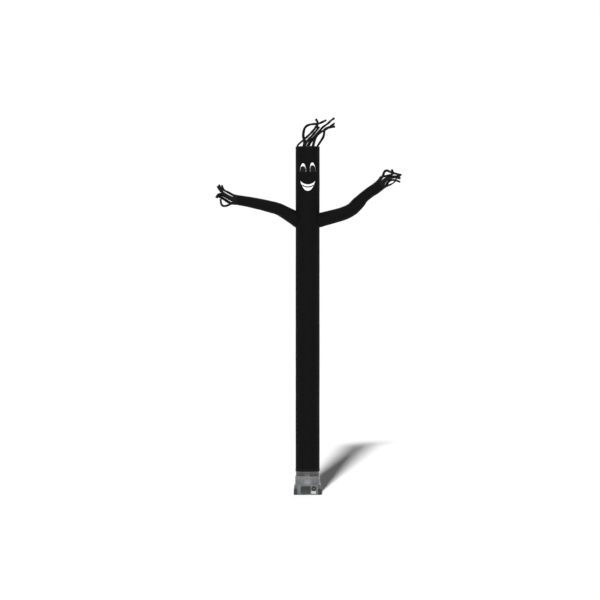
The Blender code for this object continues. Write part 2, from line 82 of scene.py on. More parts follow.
# Columns: height, half width, corner radius, rounding. A round row has one radius for the middle two
HOUSING_OUTSIDE = (
    (0.002, 0.150, 0.040, 0.0006),
    (0.004, 0.152, 0.042, 0),
    (0.004, 0.256, 0.079, 0.0015),
    (*WALL_FOOT, 0.0020),
    (*WALL_TOP, 0.0050),
    (0.192, 0.245, 0.090, 0.0040),
    (0.203, DRUM, 0.0050),
    (0.2910, DRUM, 0.0005),
    (0.2922, DRUM - 0.0014, 0),
    (0.2938, DRUM - 0.0014, 0),
    (0.2950, DRUM, 0.0005),
    (0.344, DRUM, 0.0025),
    (0.349, DRUM - 0.003, 0.0012),
    (0.351, COLLAR, 0.0012),
    (0.418, COLLAR, 0.0008),
    (0.421, COLLAR + 0.003, 0.0010),
    (0.433, COLLAR + 0.003, 0.0010),
    (0.436, COLLAR, 0.0008),
    (0.441, COLLAR, 0),
    (0.443, SEAT, 0.0006),
    (0.485, SEAT, 0.0006),
    (0.490, COLLAR, 0),
    (0.557, COLLAR, 0.0012),
    (0.560, COLLAR - 0.001, 0.0006),
)
HOUSING_INSIDE = (
    (0.560, COLLAR - WALL, 0.0008),
    (0.349, COLLAR - WALL, 0.0020),
    (0.338, DRUM - WALL, 0.0020),
    (0.198, DRUM - WALL, 0.0020),
    (0.187, 0.240, 0.085, 0.0020),
    (0.176, 0.247, 0.073, 0.0020),
    (0.009, 0.257, 0.080, 0.0010),
)


def square_reach(turn, half, corner):
    """How far a square with rounded corners reaches this way. A full corner radius makes it round."""
    folded = min(turn % (pi / 2), pi / 2 - turn % (pi / 2))
    flat = half - corner
    if half * tan(folded) < flat:
        return half / cos(folded)
    along = flat * (cos(folded) + sin(folded))
    return along + sqrt(along**2 - 2 * flat**2 + corner**2)


def verts_of(geom):
    return [item for item in geom if isinstance(item, bmesh.types.BMVert)]


def extrude_ring(bm, ring):
    made = bmesh.ops.extrude_edge_only(bm, edges=ring)["geom"]
    fresh = set(verts_of(made))
    return [item for item in made if isinstance(item, bmesh.types.BMEdge) and set(item.verts) <= fresh]


def turn_outwards(bm):
    bmesh.ops.recalc_face_normals(bm, faces=bm.faces)


def round_off(bm, edges, rounding, segments=3):
    return bmesh.ops.bevel(
        bm, geom=edges, offset=rounding, segments=segments, profile=0.5, affect="EDGES", material=-1, clamp_overlap=True
    )["verts"]


def ring_through(rows, sides, capped=True):
    """Extrudes a ring up through the rows and rounds its edges."""
    bm = bmesh.new()
    bmesh.ops.create_circle(bm, segments=sides, radius=1, cap_ends=capped)
    ring = list(bm.edges)
    to_round = []
    for number, (height, half, *corner, rounding) in enumerate(rows):
        if number:
            ring = extrude_ring(bm, ring)
        for vert in {vert for edge in ring for vert in edge.verts}:
            turn = atan2(vert.co.y, vert.co.x)
            out = square_reach(turn, half, *(corner or [half]))
            vert.co = (out * cos(turn), out * sin(turn), height)
        if rounding:
            to_round.append((ring, rounding))
    if capped:
        bmesh.ops.contextual_create(bm, geom=ring)
    for edges, rounding in to_round:
        round_off(bm, edges, rounding)
    return bm


def panel(width, height, thick, corner, segments=8):
    """A panel with rounded corners that faces -Y, with its back at y = 0."""
    bm = bmesh.new()
    bmesh.ops.create_cube(bm, size=1)
    bmesh.ops.scale(bm, vec=(width, thick, height), verts=bm.verts)
    bmesh.ops.translate(bm, vec=(0, -thick / 2, 0), verts=bm.verts)
    upright = [edge for edge in bm.edges if abs(edge.verts[0].co.y - edge.verts[1].co.y) > thick / 2]
    round_off(bm, upright, corner, segments)
    return bm


def round_front(bm, thick, rounding, segments=3):
    front = [edge for edge in bm.edges if all(abs(vert.co.y + thick) < 1e-5 for vert in edge.verts)]
    round_off(bm, front, rounding, segments)


def wall_at(height):
    """Half width and corner radius of the base wall at a height."""
    share = min(max((height - WALL_FOOT[0]) / (WALL_TOP[0] - WALL_FOOT[0]), 0), 1)
    return [a + share * (b - a) for a, b in zip(WALL_FOOT[1:], WALL_TOP[1:])]


def to_front_wall(bm, x, height, out):
    """Moves what faces -Y to the leaning front wall of the base, this far out of it."""
    half = wall_at(height)[0]
    bmesh.ops.rotate(bm, verts=bm.verts, matrix=Matrix.Rotation(-WALL_LEAN, 3, "X"))
    bmesh.ops.translate(bm, verts=bm.verts, vec=(x, -half - out * cos(WALL_LEAN), height + out * sin(WALL_LEAN)))
    return bm


def mesh_of(name, bm):
    mesh = bpy.data.meshes.new(name)
    bm.to_mesh(mesh)
    bm.free()
    return mesh


scene = bpy.context.scene


def in_scene(name, data):
    made = bpy.data.objects.new(name, data)
    scene.collection.objects.link(made)
    return made


def smooth(mesh, sharp):
    """Shades a mesh smooth but for edges sharper than this many degrees."""
    mesh.shade_smooth()
    mesh.set_sharp_from_angle(angle=radians(sharp))


def piece(name, bm, finish, slot, *nodes, sharp=35):
    """Makes a piece of the object, in place of these nodes."""
    made = in_scene(name, mesh_of(name, bm))
    made.data.materials.append(finish)
    smooth(made.data, sharp)
    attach(made, "root")
    if nodes:
        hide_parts(*nodes)
    return made


def cut_out(made, sharp, *shapes):
    """Cuts closed shapes out of a piece, works its modifiers into its mesh and smooths it again."""
    for shape in shapes:
        turn_outwards(shape)
        cutter = in_scene("cutter", mesh_of("cutter", shape))
        boolean = made.modifiers.new("cut", "BOOLEAN")
        boolean.operation = "DIFFERENCE"
        boolean.solver = "EXACT"
        boolean.object = cutter
        depsgraph = bpy.context.evaluated_depsgraph_get()
        whole = made.evaluated_get(depsgraph)
        mesh = bpy.data.meshes.new_from_object(whole, preserve_all_data_layers=True, depsgraph=depsgraph)
        made.modifiers.clear()
        made.data = mesh
        bpy.data.objects.remove(cutter)
    smooth(made.data, sharp)


def new_finish(name, values):
    """A material, a function that adds a node to it, and one that fills its shader."""
    finish = bpy.data.materials.new(name)
    finish.use_nodes = True
    tree = finish.node_tree

    def fill(node, values):
        for socket, value in values.items():
            if isinstance(value, bpy.types.NodeSocket):
                tree.links.new(value, node.inputs[socket])
            else:
                node.inputs[socket].default_value = value

    def add(kind, values, out=0, **settings):
        node = tree.nodes.new("ShaderNode" + kind)
        for setting, value in settings.items():
            setattr(node, setting, value)
        fill(node, values)
        return node.outputs[out]

    shader = tree.nodes["Principled BSDF"]
    fill(shader, values)
    return finish, add, lambda values: fill(shader, values)


def in_range(add, value, low, high, to_low=0, to_high=1):
    return add("MapRange", {"Value": value, "From Min": low, "From Max": high, "To Min": to_low, "To Max": to_high})


def cloudy(add, place, scale, detail, **more):
    return add("TexNoise", {"Vector": place, "Scale": scale, "Detail": detail, **more})


def times(add, a, b, kind="Math"):
    return add(kind, {0: a, 1: b}, operation="MULTIPLY")


def between(add, share, a, b):
    return add("Mix", {0: share, 6: a, 7: b}, out=2, data_type="RGBA")


def bump(add, height, distance, strength, **more):
    return add("Bump", {"Height": height, "Distance": distance, "Strength": strength, **more})


def moulded(name, tones, roughness, grain, dust, gloss=0.5):
    """Moulded plastic or rubber. tones are heights and the colour from there up; dust gathers low on it."""
    finish, add, shade = new_finish(name, {"Specular IOR Level": gloss})
    place = add("TexCoord", {}, out="Object")
    height = add("SeparateXYZ", {"Vector": place}, out="Z")
    # Colour by height: on the shell and the grille it paints highlight and shade.
    ramp = add("ValToRGB", {"Fac": height})
    elements = ramp.node.color_ramp.elements
    elements[0].color = (*tones[0][1], 1)
    elements.remove(elements[1])
    for (_, below), (low, above) in zip(tones, tones[1:]):
        elements.new(low - 0.0008).color = (*below, 1)
        elements.new(low + 0.0008).color = (*above, 1)
    cloud = cloudy(add, place, 8, 6, Roughness=0.6)
    shift = in_range(add, cloud, 0.3, 0.7, 0.86, 1.12)
    tone = times(add, ramp, shift, "VectorMath")
    fleck = in_range(add, cloudy(add, place, 170, 8, Roughness=0.8), 0.56, 0.70)
    patchy = in_range(add, cloudy(add, place, 22, 4), 0.45, 0.65)
    soiled = times(add, times(add, fleck, patchy), in_range(add, height, 0.20, 0, 0.25, 1))
    shade({"Base Color": between(add, soiled, tone, (*dust, 1))})
    shade({"Roughness": in_range(add, cloud, 0.3, 0.7, roughness - 0.06, roughness + 0.08)})
    scratched = bump(add, cloudy(add, place, 60, 6, Distortion=2), 0.0006, 0.25)
    shade({"Normal": bump(add, cloudy(add, place, 1 / grain, 3), grain / 4, 0.5, Normal=scratched)})
    return finish


# Colour of the one grey plastic by height. The drum is painted lighter than the base, and the band above the groove
# lighter still, as painted highlight. The collar and the ring above its bead are painted dark, as painted shade under
# the cloth's hem, and the bead paler, as a painted highlight.
SHELL_TONES_WITH_PAINTED_LIGHT = (
    (0, (0.084, 0.089, 0.094)),
    (0.190, (0.145, 0.152, 0.160)),
    (0.296, (0.160, 0.159, 0.170)),
    (0.349, (0.052, 0.052, 0.055)),
    (0.4195, (0.095, 0.095, 0.098)),
    (0.4345, (0.052, 0.052, 0.055)),
)
shell_plastic = moulded("grey moulded plastic", SHELL_TONES_WITH_PAINTED_LIGHT, 0.30, 0.0012, (0.17, 0.165, 0.155))
shell_bm = ring_through((*HOUSING_OUTSIDE, *HOUSING_INSIDE), HOUSING_SIDES)
shell = piece("blower_shell", shell_bm, shell_plastic, "grey_shell", "blower_housing")

# The intake window, cut through the front wall of the base with its outer edge broken.
WINDOW_AT = (-0.037, 0.094)  # how far right, how high
WINDOW = (0.194, 0.156)
WINDOW_CORNER = 0.025
EDGE_BREAK = 0.0015
FLARE = 6 * EDGE_BREAK
window = panel(*WINDOW, 6 * WALL, WINDOW_CORNER)
front = [face for face in window.faces if face.calc_center_median().y < -6 * WALL + 1e-5]
bmesh.ops.translate(window, vec=(0, 3 * WALL - EDGE_BREAK, 0), verts=list({v for face in front for v in face.verts}))
flared = bmesh.ops.extrude_face_region(window, geom=front)["geom"]
bmesh.ops.delete(window, geom=front, context="FACES_ONLY")
for vert in verts_of(flared):
    vert.co += Vector((copysign(FLARE, vert.co.x), -FLARE, copysign(FLARE, vert.co.z)))
cut_out(shell, 35, to_front_wall(window, *WINDOW_AT, -3 * WALL))

# Intake grille. A frame of dark moulded plastic, screwed up against the inside of the wall, with leaning louvres that
# keep rain off the fan.
GRILLE_MARGIN = 0.002
GRILLE_THICK = 0.005
GRILLE_RIM = 0.010
GRILLE_ROUNDING = 0.0006
LOUVRES = 9
LOUVRE = (0.184, 0.0024, 0.0170)
END_LOUVRE = 0.158  # shorter, to clear the window's corners
LOUVRE_LEAN = radians(40)
LOUVRE_ROUNDING = 0.0009
LOUVRE_FORWARD = 0.0035

# The lower louvres are painted lighter and greener than the upper ones, as painted light from the floor seen through
# the window.
GRILLE_TONES_WITH_PAINTED_LIGHT = ((0, (0.102, 0.115, 0.094)), (0.080, (0.080, 0.087, 0.081)))
dark_plastic = moulded("dark moulded plastic", GRILLE_TONES_WITH_PAINTED_LIGHT, 0.55, 0.0009, (0.12, 0.12, 0.10))
grille = panel(WINDOW[0] + 2 * GRILLE_MARGIN, WINDOW[1] + 2 * GRILLE_MARGIN, GRILLE_THICK, WINDOW_CORNER)
faces = [face for face in grille.faces if abs(face.normal.y) > 0.9 or len(face.verts) > 4]
bmesh.ops.inset_region(grille, faces=faces, thickness=GRILLE_RIM, use_even_offset=True)
holes = []
for y in (0, -GRILLE_THICK):
    inner = max((f for f in grille.faces if abs(f.calc_center_median().y - y) < 1e-5), key=lambda f: f.calc_area())
    holes += list(inner.edges)
    grille.faces.remove(inner)
bmesh.ops.bridge_loops(grille, edges=holes)
round_front(grille, GRILLE_THICK, GRILLE_ROUNDING, 2)
pitch = WINDOW[1] / LOUVRES
for number in range(LOUVRES):
    blade = bmesh.ops.create_cube(grille, size=1)["verts"]
    long = END_LOUVRE if number in (0, LOUVRES - 1) else LOUVRE[0]
    bmesh.ops.scale(grille, vec=(long, *LOUVRE[1:]), verts=blade)
    edges = list({edge for vert in blade for edge in vert.link_edges})
    rounded = round_off(grille, edges, LOUVRE_ROUNDING, 2)
    blade = list({vert for start in rounded for face in start.link_faces for vert in face.verts})
    bmesh.ops.rotate(grille, verts=blade, matrix=Matrix.Rotation(LOUVRE_LEAN - pi / 2, 3, "X"))
    bmesh.ops.translate(grille, verts=blade, vec=(0, -LOUVRE_FORWARD, (number - (LOUVRES - 1) / 2) * pitch))
turn_outwards(grille)
to_front_wall(grille, *WINDOW_AT, -WALL - GAP - GRILLE_THICK)
piece("intake_louvres", grille, dark_plastic, "dark_plastic", "intake_grille")

# Power inlet. A round fitting moulded in dark plastic, with a shallow recess, screwed to the front wall beside the
# window. A paler plastic bar is clipped across the recess.
INLET_AT = (0.119, 0.1225)
INLET_FLOOR = 0.003
INLET_ROWS = (
    (0.000, 0.0460, 0),
    (0.007, 0.0460, 0.0006),
    (0.009, 0.0440, 0.0006),
    (0.009, 0.0375, 0.0006),
    (INLET_FLOOR, 0.0365, 0.0004),
    (INLET_FLOOR, 0.0325, 0),
    (INLET_FLOOR + 0.0006, 0.0319, 0),
)
inlet = ring_through(INLET_ROWS, 96)
turn_outwards(inlet)
bmesh.ops.rotate(inlet, verts=inlet.verts, matrix=Matrix.Rotation(pi / 2, 3, "X"))
to_front_wall(inlet, *INLET_AT, GAP)
inlet_plastic = moulded("inlet plastic", ((0, (0.014, 0.014, 0.015)),), 0.55, 0.0009, (0.05, 0.05, 0.047), gloss=0.3)
piece("inlet_body", inlet, inlet_plastic, "dark_plastic", "power_inlet")

bar_plastic = moulded("pale bar", ((0, (0.075, 0.075, 0.076)),), 0.50, 0.0008, (0.12, 0.12, 0.11))
BAR = (0.054, 0.014, 0.005)
BAR_CORNER = 0.004
BAR_ROUNDING = 0.0014
bar = panel(*BAR, BAR_CORNER, 5)
round_front(bar, BAR[2], BAR_ROUNDING, 4)
to_front_wall(bar, *INLET_AT, INLET_FLOOR + 0.0012)
piece("inlet_cross_bar", bar, bar_plastic, "pale_bar", "inlet_bar")

# Plate. A blank white plastic plate with well rounded corners and a softened front edge, glued to the front wall
# under the inlet.
PLATE = (0.092, 0.050, 0.0025)
PLATE_CORNER = 0.018
PLATE_ROUNDING = 0.0008
PLATE_AT = (0.113, 0.047)
plate_plastic = moulded("white plate", ((0, (0.45, 0.45, 0.44)),), 0.38, 0.0010, (0.40, 0.38, 0.34))
plate = panel(*PLATE, PLATE_CORNER, 10)
round_front(plate, PLATE[2], PLATE_ROUNDING)
to_front_wall(plate, *PLATE_AT, GAP)
piece("plain_plate", plate, plate_plastic, "white_plate", "blank_plate")

# Feet. Four black rubber corners pushed on over the lower corners of the base, each with a lip under it that the
# blower stands on. Their upper outer edges are rounded.
FOOT_HEIGHT = 0.115
FOOT_LIP = 0.060
FOOT_WALL = 0.0063
FOOT_SOLE = 0.0037
FOOT_ROUNDING = 0.0018
FOOT_STATIONS = 12
FOOT_TURN = radians(7.5)
FOOT_PROFILE = (
    (-FOOT_LIP, 0),
    (FOOT_WALL, 0),
    (FOOT_WALL, FOOT_HEIGHT),
    (GAP, FOOT_HEIGHT),
    (GAP, WALL_FOOT[0]),
    (GAP, FOOT_SOLE),
    (-FOOT_LIP, FOOT_SOLE),
)


def follow(ring, before):
    """Hands on to a fresh ring what each vertex of the ring before had."""
    found = {}
    for vert in {vert for edge in ring for vert in edge.verts}:
        old = next(edge.other_vert(vert) for edge in vert.link_edges if edge.other_vert(vert) in before)
        found[vert] = before[old]
    return found


def foot_point(turn, out, height):
    half, corner = wall_at(height)
    reach = square_reach(turn, half + out, corner + out)
    return Vector((reach * cos(turn), reach * sin(turn), height))


rubber = moulded("black rubber", ((0, (0.034, 0.035, 0.037)),), 0.72, 0.0007, (0.07, 0.068, 0.062), gloss=0.3)
for number, corner_name in enumerate(("back_right", "back_left", "front_left", "front_right")):
    middle = radians(45 + 90 * number)
    foot = bmesh.new()
    first = [foot.verts.new(foot_point(middle - FOOT_TURN, *row)) for row in FOOT_PROFILE]
    ring = [foot.edges.new((first[i - 1], first[i])) for i in range(len(first))]
    bmesh.ops.contextual_create(foot, geom=ring)
    order = dict(zip(first, FOOT_PROFILE))
    for station in range(1, FOOT_STATIONS + 1):
        turn = middle + FOOT_TURN * (2 * station / FOOT_STATIONS - 1)
        ring = extrude_ring(foot, ring)
        order = follow(ring, order)
        for vert, row in order.items():
            vert.co = foot_point(turn, *row)
    bmesh.ops.contextual_create(foot, geom=ring)
    turn_outwards(foot)
    upper = [
        edge for edge in foot.edges
        if edge.calc_face_angle(0) > radians(50) and max(vert.co.z for vert in edge.verts) > FOOT_HEIGHT - 0.001
    ]
    round_off(foot, upper, FOOT_ROUNDING)
    piece(f"corner_foot_{corner_name}", foot, rubber, "black_rubber", f"foot_{corner_name}")

# Tube. One length of black ripstop nylon, felled up the back and open at the foot, where it is strapped round the
# collar and gathers into short pleats. The air in it holds it stretched.
TUBE = 0.2275
TUBE_FOOT = 0.438
TUBE_TOP = 6.575
CLOTH = 0.0008
STRAP_TOP = 0.486
PLEATS = 28
TUBE_COLUMNS = 160
# Columns: share of the cloth's rows, height
TUBE_ROWS = ((0, TUBE_FOOT), (0.22, 0.90), (0.56, 4.75), (0.80, 5.70), (1, TUBE_TOP))
TUBE_ROW_COUNT = 262
# Columns: side, height and radius of each arm seam
ARM_SEAMS = ((-1, 5.214, 0.140), (1, 5.185, 0.138))


def eased(share):
    share = min(max(share, 0.0), 1.0)
    return share * share * (3 - 2 * share)


def tube_swell(turn, height):
    """How far the cloth is off a true round: pleats at the strap, billows, and puckers at seams."""
    rise = height - STRAP_TOP
    free = eased(rise / 0.03)
    folds = 0.5 + 0.5 * cos(PLEATS * turn + 1.4 * sin(5 * turn))
    swell = -0.0032 * free * exp(-max(rise, 0) / 0.13) * folds
    round_about = Vector((cos(turn), sin(turn), 0))
    swell += 0.0020 * eased(rise / 0.4) * noise.noise(round_about * 1.1 + Vector((0, 0, height * 0.9)))
    swell += 0.0007 * free * noise.noise(round_about * 5 + Vector((3, 0, height * 4)))
    swell -= 0.0012 * exp(-(TUBE_TOP - height) / 0.035) * (0.5 + 0.5 * cos(40 * turn + sin(7 * turn)))
    for side, seam_z, seam in ARM_SEAMS:
        if side * turn > 0 and abs(height - seam_z) < 0.4:
            across = TUBE * (abs(turn) - pi / 2)
            away = hypot(across, height - seam_z) - seam
            around = atan2(height - seam_z, across)
            swell -= 0.0030 * exp(-((away / 0.05) ** 2)) * (0.5 + 0.5 * cos(17 * around + 2 * sin(3 * around)))
    return swell


def on_tube(across, height, lift=0.0):
    """Where a point of the tube's flat cloth lies. across is 0 at the front and grows to the right."""
    turn = across / TUBE
    out = TUBE + tube_swell(turn, height) + lift
    return Vector((out * sin(turn), -out * cos(turn), height))


def note_flat(bm):
    """Keeps the places of the flat cloth, which its weave follows."""
    flat = bm.loops.layers.uv.new("cloth")
    for face in bm.faces:
        for loop in face.loops:
            loop[flat].uv = loop.vert.co.xy


def lay_cloth(columns, rows, pattern, place):
    """Cuts cloth to its pattern and lays it in place. Returns it, its flat size and its area."""
    bm = bmesh.new()
    bmesh.ops.create_grid(bm, x_segments=columns, y_segments=rows, size=0.5)
    for vert in bm.verts:
        vert.co.xy = pattern(vert.co.x + 0.5, vert.co.y + 0.5)
    note_flat(bm)
    area = sum(face.calc_area() for face in bm.faces)
    size = [max(v.co[i] for v in bm.verts) - min(v.co[i] for v in bm.verts) for i in (0, 1)]
    middle = max(bm.faces, key=lambda face: face.calc_area()).calc_center_median()
    east, north, outward = (place(*(middle + 0.001 * way)) - place(*middle) for way in Matrix.Identity(3))
    for vert in bm.verts:
        vert.co = place(vert.co.x, vert.co.y, 0)
    if east.cross(north).dot(outward) < 0:
        bmesh.ops.reverse_faces(bm, faces=bm.faces)
    bmesh.ops.remove_doubles(bm, verts=bm.verts, dist=0.00004)
    bmesh.ops.dissolve_degenerate(bm, edges=bm.edges, dist=0.00001)
    return bm, size, area


def cloth_piece(name, bm, finish, slot, *nodes, sharp=60, thick=CLOTH, offset=-1.0):
    """A piece of cloth with its thickness."""
    made = piece(name, bm, finish, slot, *nodes, sharp=sharp)
    solidify = made.modifiers.new("thickness", "SOLIDIFY")
    solidify.thickness = thick
    solidify.offset = offset
    solidify.use_even_offset = True
    return made


STITCH = (0.0030, 0.0009, 0.0006)
STITCH_PITCH = 0.0042


def sew(bm, length, lay, pitch=STITCH_PITCH, thread=STITCH):
    """Adds a row of stitches, which lay puts along a seam, across it and off the cloth."""
    row = bmesh.new()
    bmesh.ops.create_uvsphere(row, u_segments=4, v_segments=2, radius=0.5)
    bmesh.ops.scale(row, vec=thread, verts=row.verts)
    bmesh.ops.translate(row, vec=(pitch / 2, 0, 0), verts=row.verts)
    beads = 1
    while beads * pitch < length:
        made = bmesh.ops.duplicate(row, geom=[*row.verts, *row.edges, *row.faces])["geom"]
        bmesh.ops.translate(row, vec=(beads * pitch, 0, 0), verts=verts_of(made))
        beads *= 2
    count = int(length / pitch + 0.5)
    bmesh.ops.delete(row, geom=[v for v in row.verts if int(v.co.x / pitch) >= count], context="VERTS")
    for vert in row.verts:
        vert.co = lay(*vert.co)
    turn_outwards(row)
    mesh = mesh_of("row", row)
    bm.from_mesh(mesh)
    bpy.data.meshes.remove(mesh)


def woven(name, colour, roughness, grid, thread, sheen=0.01, crease=0.0012, gloss=0.08):
    """Woven cloth. grid is the spacing of its thicker threads, and thread of its fine ones."""
    finish, add, shade = new_finish(name, {"Specular IOR Level": gloss, "Sheen Weight": sheen, "Sheen Roughness": 0.5})
    flat = add("UVMap", {}, uv_map="cloth")

    def bands(spacing, direction, low):
        wave = add("TexWave", {"Vector": flat, "Scale": pi / (10 * spacing)}, out=1, bands_direction=direction)
        return in_range(add, wave, low, 1.0)

    cords = add("Math", {0: bands(grid, "X", 0.88), 1: bands(grid, "Y", 0.88)}, operation="MAXIMUM")
    weave = times(add, bands(thread, "X", 0.0), bands(thread, "Y", 0.0))
    cloud = cloudy(add, flat, 5, 5)
    dark, light = ([c * k for c in colour] + [1] for k in (0.82, 1.18))
    tone = times(add, between(add, cloud, dark, light), in_range(add, cords, 0, 1, 1, 1.35), "VectorMath")
    shade({"Base Color": times(add, tone, in_range(add, weave, 0, 1, 0.92, 1.08), "VectorMath")})
    shade({"Roughness": in_range(add, cloud, 0, 1, roughness - 0.08, roughness + 0.08)})
    creased = bump(add, cloudy(add, flat, 16, 5, Distortion=1.2), crease * 4, 0.35)
    corded = bump(add, cords, 0.00025, 0.6, Normal=creased)
    shade({"Normal": bump(add, weave, 0.00010, 0.5, Normal=corded)})
    return finish


def thread_finish(name, colour):
    finish, add, shade = new_finish(name, {"Specular IOR Level": 0.3, "Sheen Weight": 0.05})
    place = add("TexCoord", {}, out="Object")
    twist = cloudy(add, place, 2500, 2)
    dark, light = ([c * k for c in colour] + [1] for k in (0.7, 1.3))
    shade({"Base Color": between(add, twist, dark, light)})
    shade({"Roughness": in_range(add, twist, 0, 1, 0.45, 0.65)})
    shade({"Normal": bump(add, twist, 0.0002, 0.5)})
    return finish


def tube_pattern(u, v):
    marks = [row[0] for row in TUBE_ROWS]
    far = min(bisect_right(marks, v), len(marks) - 1)
    (start, low), (end, high) = TUBE_ROWS[far - 1], TUBE_ROWS[far]
    return 2 * pi * TUBE * (u - 0.5), low + (v - start) / (end - start) * (high - low)


ripstop = woven("black ripstop nylon", (0.0022, 0.0022, 0.0022), 0.70, 0.005, 0.0011)
black_thread = thread_finish("black thread", (0.012, 0.012, 0.012))
THREAD_LIFT = 0.0002
ROW_START = 0.004  # left free at the end of a row of stitches

tube_bm, tube_flat, _ = lay_cloth(TUBE_COLUMNS, TUBE_ROW_COUNT, tube_pattern, on_tube)
tube = cloth_piece("tube_cloth", tube_bm, ripstop, "ripstop", "body_tube")

FELL = 0.014  # width of the felled seam up the back
fell_foot = STRAP_TOP + 0.004


def on_fell(across, height, lift=0.0):
    return on_tube(pi * TUBE + across, height, lift + GAP + CLOTH)


def fell_pattern(u, v):
    share = (tube_pattern(0, v)[1] - TUBE_FOOT) / (TUBE_TOP - TUBE_FOOT)
    return (u - 0.5) * FELL, fell_foot + share * (TUBE_TOP - 0.002 - fell_foot)


fell_bm, _, _ = lay_cloth(4, TUBE_ROW_COUNT, fell_pattern, on_fell)
fell = cloth_piece("tube_back_seam", fell_bm, ripstop, "ripstop")

seams = bmesh.new()
for across in (-FELL / 2 + 0.002, FELL / 2 - 0.002):
    sew(seams, TUBE_TOP - fell_foot - ROW_START, lambda x, y, z: on_fell(across + y, fell_foot + x, z + THREAD_LIFT))
hem = 2 * pi * TUBE - FELL - ROW_START
for height in (TUBE_FOOT + 0.003, TUBE_TOP - 0.006, TUBE_TOP - 0.013):
    sew(seams, hem, lambda x, y, z: on_tube(x - hem / 2, height + y, z + GAP))
tube_stitches = piece("tube_stitches", seams, black_thread, "ripstop")

# Strap. Black ribbed webbing, 40 mm wide, drawn tight round the foot of the tube to hold it on the collar. Its end
# is lapped over it at the back and sewn down with two boxes of stitches.
STRAP_FOOT = 0.4445
STRAP_WIDTH = 0.0395
STRAP_THICK = 0.0016
STRAP_RIBS = 18
STRAP_IN = TUBE + 0.0004
STRAP_EDGE = 0.0010  # thickness of its edges
RIB_DEPTH = 0.0003
STRAP_HEAD = STRAP_FOOT + STRAP_WIDTH
strap_rows = [(STRAP_FOOT, STRAP_IN, 0), (STRAP_FOOT, STRAP_IN + STRAP_EDGE, 0)]
for rib in range(2 * STRAP_RIBS + 1):
    out = STRAP_IN + STRAP_THICK - (RIB_DEPTH if rib % 2 else 0)
    strap_rows.append((STRAP_FOOT + 0.0006 + (STRAP_WIDTH - 0.0012) * rib / (2 * STRAP_RIBS), out, 0))
strap_rows += [(STRAP_HEAD, STRAP_IN + STRAP_EDGE, 0), (STRAP_HEAD, STRAP_IN, 0), strap_rows[0]]
strap_bm = ring_through(strap_rows, HOUSING_SIDES, capped=False)
bmesh.ops.remove_doubles(strap_bm, verts=strap_bm.verts, dist=0.00002)
turn_outwards(strap_bm)

flat = strap_bm.loops.layers.uv.new("cloth")
for face in strap_bm.faces:
    middle = face.calc_center_median()
    about = atan2(middle.x, -middle.y)
    for loop in face.loops:
        turn = atan2(loop.vert.co.x, -loop.vert.co.y)
        turn += 2 * pi * round((about - turn) / (2 * pi))
        loop[flat].uv = (turn * TUBE, loop.vert.co.z)
webbing = woven("black webbing", (0.0040, 0.0040, 0.0042), 0.78, 0.0022, 0.0011, sheen=0.02, crease=0.0002, gloss=0.12)
strap = piece("foot_strap", strap_bm, webbing, "webbing", "base_strap", sharp=50)

LAP_LENGTH = 0.110
LAP_THICK = 0.0014
BOX_LENGTH = 0.028
BOX_PITCH = 0.0035
BOX_INSET = 0.005  # from the strap's edges


def on_lap(across, height, lift=0.0):
    turn = pi + across / TUBE
    out = STRAP_IN + 2 * STRAP_THICK + 0.0005 + lift
    return Vector((out * sin(turn), -out * cos(turn), height))


def lap_pattern(u, v):
    return (u - 0.5) * LAP_LENGTH, STRAP_FOOT + 0.001 + v * (STRAP_WIDTH - 0.002)


lap_bm, lap_flat, _ = lay_cloth(40, 12, lap_pattern, on_lap)
lap = cloth_piece("foot_strap_end", lap_bm, webbing, "webbing", sharp=50, thick=LAP_THICK)
lap_seams = bmesh.new()
box_foot = STRAP_FOOT + BOX_INSET
box_height = STRAP_WIDTH - 2 * BOX_INSET
for start in (-LAP_LENGTH / 2 + 0.004, LAP_LENGTH / 2 - 0.032):
    for height in (box_foot, STRAP_HEAD - BOX_INSET):
        sew(lap_seams, BOX_LENGTH, lambda x, y, z: on_lap(start + x, height + y, z + THREAD_LIFT), BOX_PITCH)
    for across in (start, start + BOX_LENGTH):
        sew(lap_seams, box_height, lambda x, y, z: on_lap(across + y, box_foot + x, z + THREAD_LIFT), BOX_PITCH)
lap_stitches = piece("foot_strap_stitches", lap_seams, black_thread, "webbing")

# Cap. A disc of the same cloth sewn inside the tube's top edge, which the air raises a little. Its rim follows the
# puckers of the tube, and short pleats run in from the seam.
CAP_RIM = TUBE - CLOTH - 0.0009
CAP_RISE = 0.015
CAP_FOOT = TUBE_TOP - 0.0003
cap_rows = []
for part in (1.0, 0.985, 0.96, 0.93, 0.89, 0.84, 0.78, 0.7, 0.6, 0.48, 0.35, 0.22, 0.1):
    cap_rows.append((CAP_FOOT + CAP_RISE * (1 - part**2), CAP_RIM * part, 0))
cap_bm = ring_through(cap_rows, TUBE_COLUMNS, capped=False)
innermost = {vert for vert in cap_bm.verts if vert.co.xy.length < CAP_RIM * 0.11}
bmesh.ops.contextual_create(cap_bm, geom=[edge for edge in cap_bm.edges if set(edge.verts) <= innermost])
note_flat(cap_bm)
for vert in cap_bm.verts:
    turn = atan2(vert.co.y, vert.co.x)
    part = vert.co.xy.length / CAP_RIM
    vert.co.xy *= 1 + tube_swell(atan2(vert.co.x, -vert.co.y), CAP_FOOT) * part**3 / CAP_RIM
    pleat = 0.5 + 0.5 * cos(36 * turn + sin(5 * turn))
    vert.co.z -= 0.0022 * exp(-(1 - part) / 0.10) * eased((1 - part) / 0.02) * pleat
    vert.co.z += 0.0012 * (1 - part) * noise.noise(Vector((vert.co.x * 9, vert.co.y * 9, 0)))
cap_bm.normal_update()
bmesh.ops.reverse_faces(cap_bm, faces=[face for face in cap_bm.faces if face.normal.z < 0])
cap = cloth_piece("top_cap", cap_bm, ripstop, "ripstop", "head_cap")

